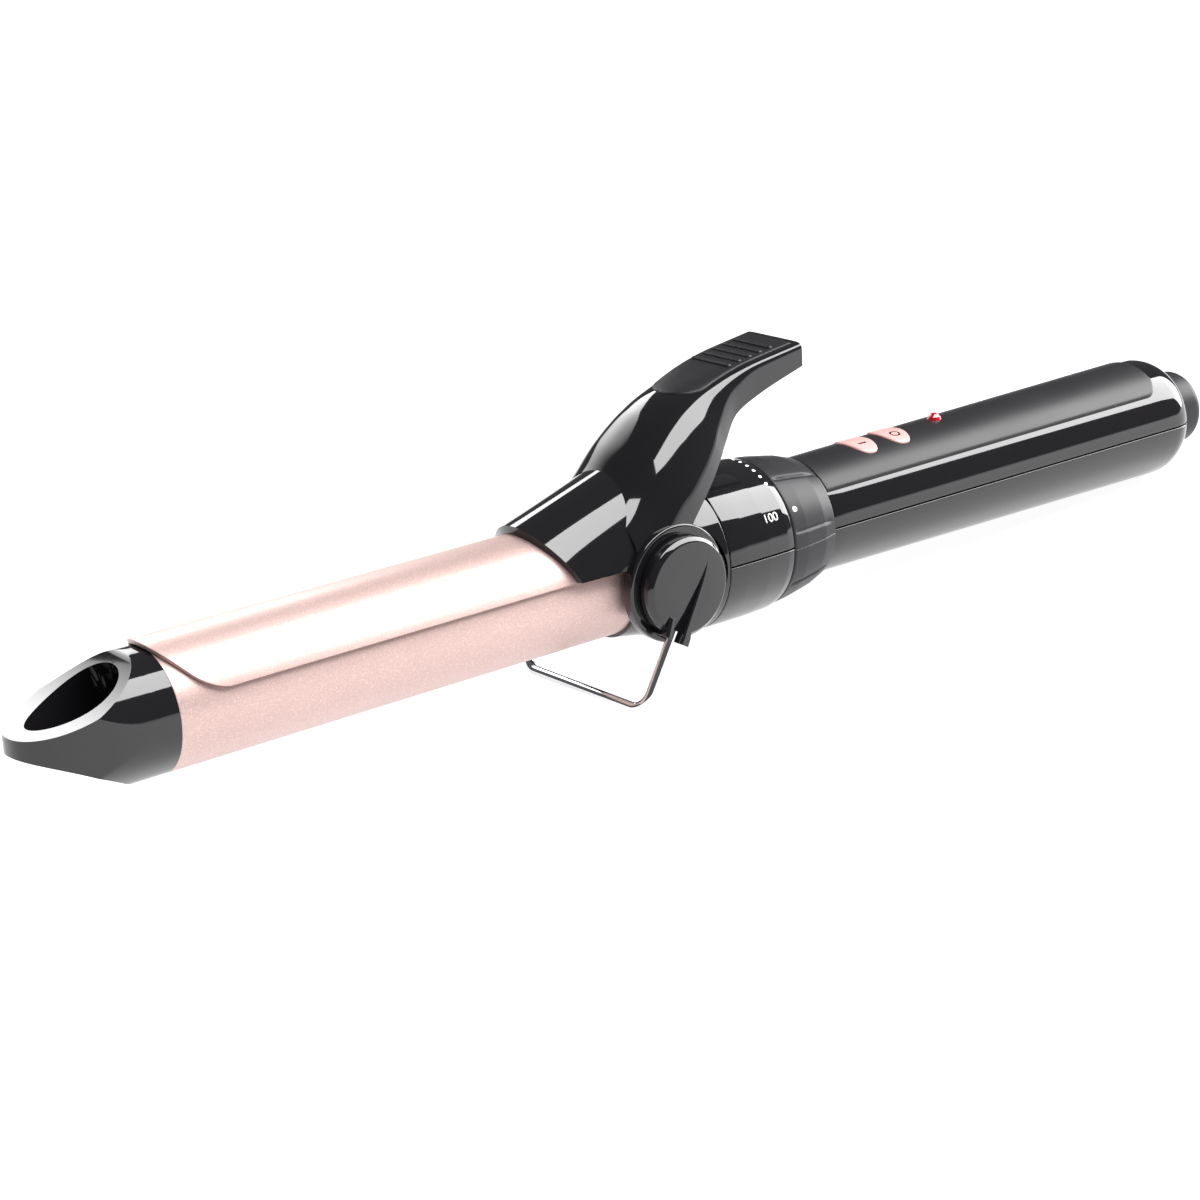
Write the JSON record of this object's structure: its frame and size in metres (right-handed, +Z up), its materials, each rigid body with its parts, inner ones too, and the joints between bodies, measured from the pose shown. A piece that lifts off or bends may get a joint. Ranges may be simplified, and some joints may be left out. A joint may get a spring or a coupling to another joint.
{
  "type": "curling iron",
  "caption": "Hair curling iron: heated barrel with a sprung clip and thumb lever, fold-out wire stand, temperature dial, push buttons and a swivel cord inlet.",
  "frame": {"origin": "on the table under the middle of the iron's box, with the iron resting on its wire stand and on the rear of its handle", "axes": "+X from the tip towards the handle, +Z up, +Y across the iron"},
  "size_m": [0.3177, 0.0448, 0.0629],
  "materials": {
    "rose_gold": "pearlescent rose-gold coating, satin",
    "gloss_black": "moulded black plastic, polished",
    "satin_black": "moulded black plastic, satin",
    "soft_black": "soft-touch coating, matt",
    "chrome": "bright chromed wire",
    "steel": "plain steel",
    "aluminium": "extruded",
    "pink_plastic": "moulded pink plastic",
    "red_lens": "clear red lens",
    "ceramic": "heat-resistant ceramic and insulation",
    "board": "glass-epoxy board",
    "component": "moulded electronic parts",
    "wire_sleeve": "silicone sleeve",
    "brass": "sprung brass",
    "carbon_track": "printed resistor track"
  },
  "bodies": {
    "root": {"barrel_tube": "rose_gold", "tip_cap": "gloss_black", "heat_spreader_upper": "aluminium", "heat_spreader_lower": "aluminium", "ptc_heater": "ceramic", "thermal_fuse": "steel", "barrel_insulator": "ceramic", "heater_leads": "wire_sleeve", "front_collar": "gloss_black", "pivot_pins": "steel", "lever_springs": "steel", "handle_shell_upper": "gloss_black", "handle_shell_lower": "gloss_black", "top_panel": "soft_black", "led_lens": "red_lens", "circuit_board": "board", "board_components": "component", "tact_switches": "component", "resistor_track": "carbon_track", "handle_screws": "steel"},
    "clip": {"clip_blade": "rose_gold", "clip_lever": "gloss_black", "thumb_pad": "soft_black", "clip_rivets": "steel"},
    "stand": {"stand_wire": "chrome", "stand_hub_near": "gloss_black", "stand_hub_far": "gloss_black"},
    "dial": {"dial_ring": "satin_black", "dial_wiper": "brass"},
    "on_button": {"button_on": "pink_plastic"},
    "off_button": {"button_off": "pink_plastic"},
    "swivel": {"swivel_knob": "satin_black", "swivel_retainer": "steel"}
  },
  "joints": [
    {"name": "clip_hinge", "type": "hinge", "parent": "root", "child": "clip", "pos_m": [-0.01374, 0, 0.02355], "axis": [0, 1, 0], "range_deg": [0, 21], "stiffness_Nm_per_rad": 0.8, "springref_deg": -8.59},
    {"name": "stand_hinge", "type": "hinge", "parent": "root", "child": "stand", "pos_m": [-0.01374, 0, 0.02355], "axis": [0, -1, 0], "range_deg": [0, 74]},
    {"name": "dial_turn", "type": "hinge", "parent": "root", "child": "dial", "pos_m": [0.02618, 0, 0.0211], "axis": [-0.9981, 0, 0.0613], "range_deg": [0, 120]},
    {"name": "button_on_press", "type": "slide", "parent": "root", "child": "on_button", "axis": [-0.0613, 0, -0.9981], "range_m": [0, 0.0008], "stiffness_N_per_m": 1500, "springref_m": -0.0004},
    {"name": "button_off_press", "type": "slide", "parent": "root", "child": "off_button", "axis": [-0.0613, 0, -0.9981], "range_m": [0, 0.0008], "stiffness_N_per_m": 1500, "springref_m": -0.0004},
    {"name": "swivel_turn", "type": "hinge", "parent": "root", "child": "swivel", "pos_m": [0.15594, 0, 0.01314], "axis": [0.9981, 0, -0.0613], "continuous": true}
  ]
}
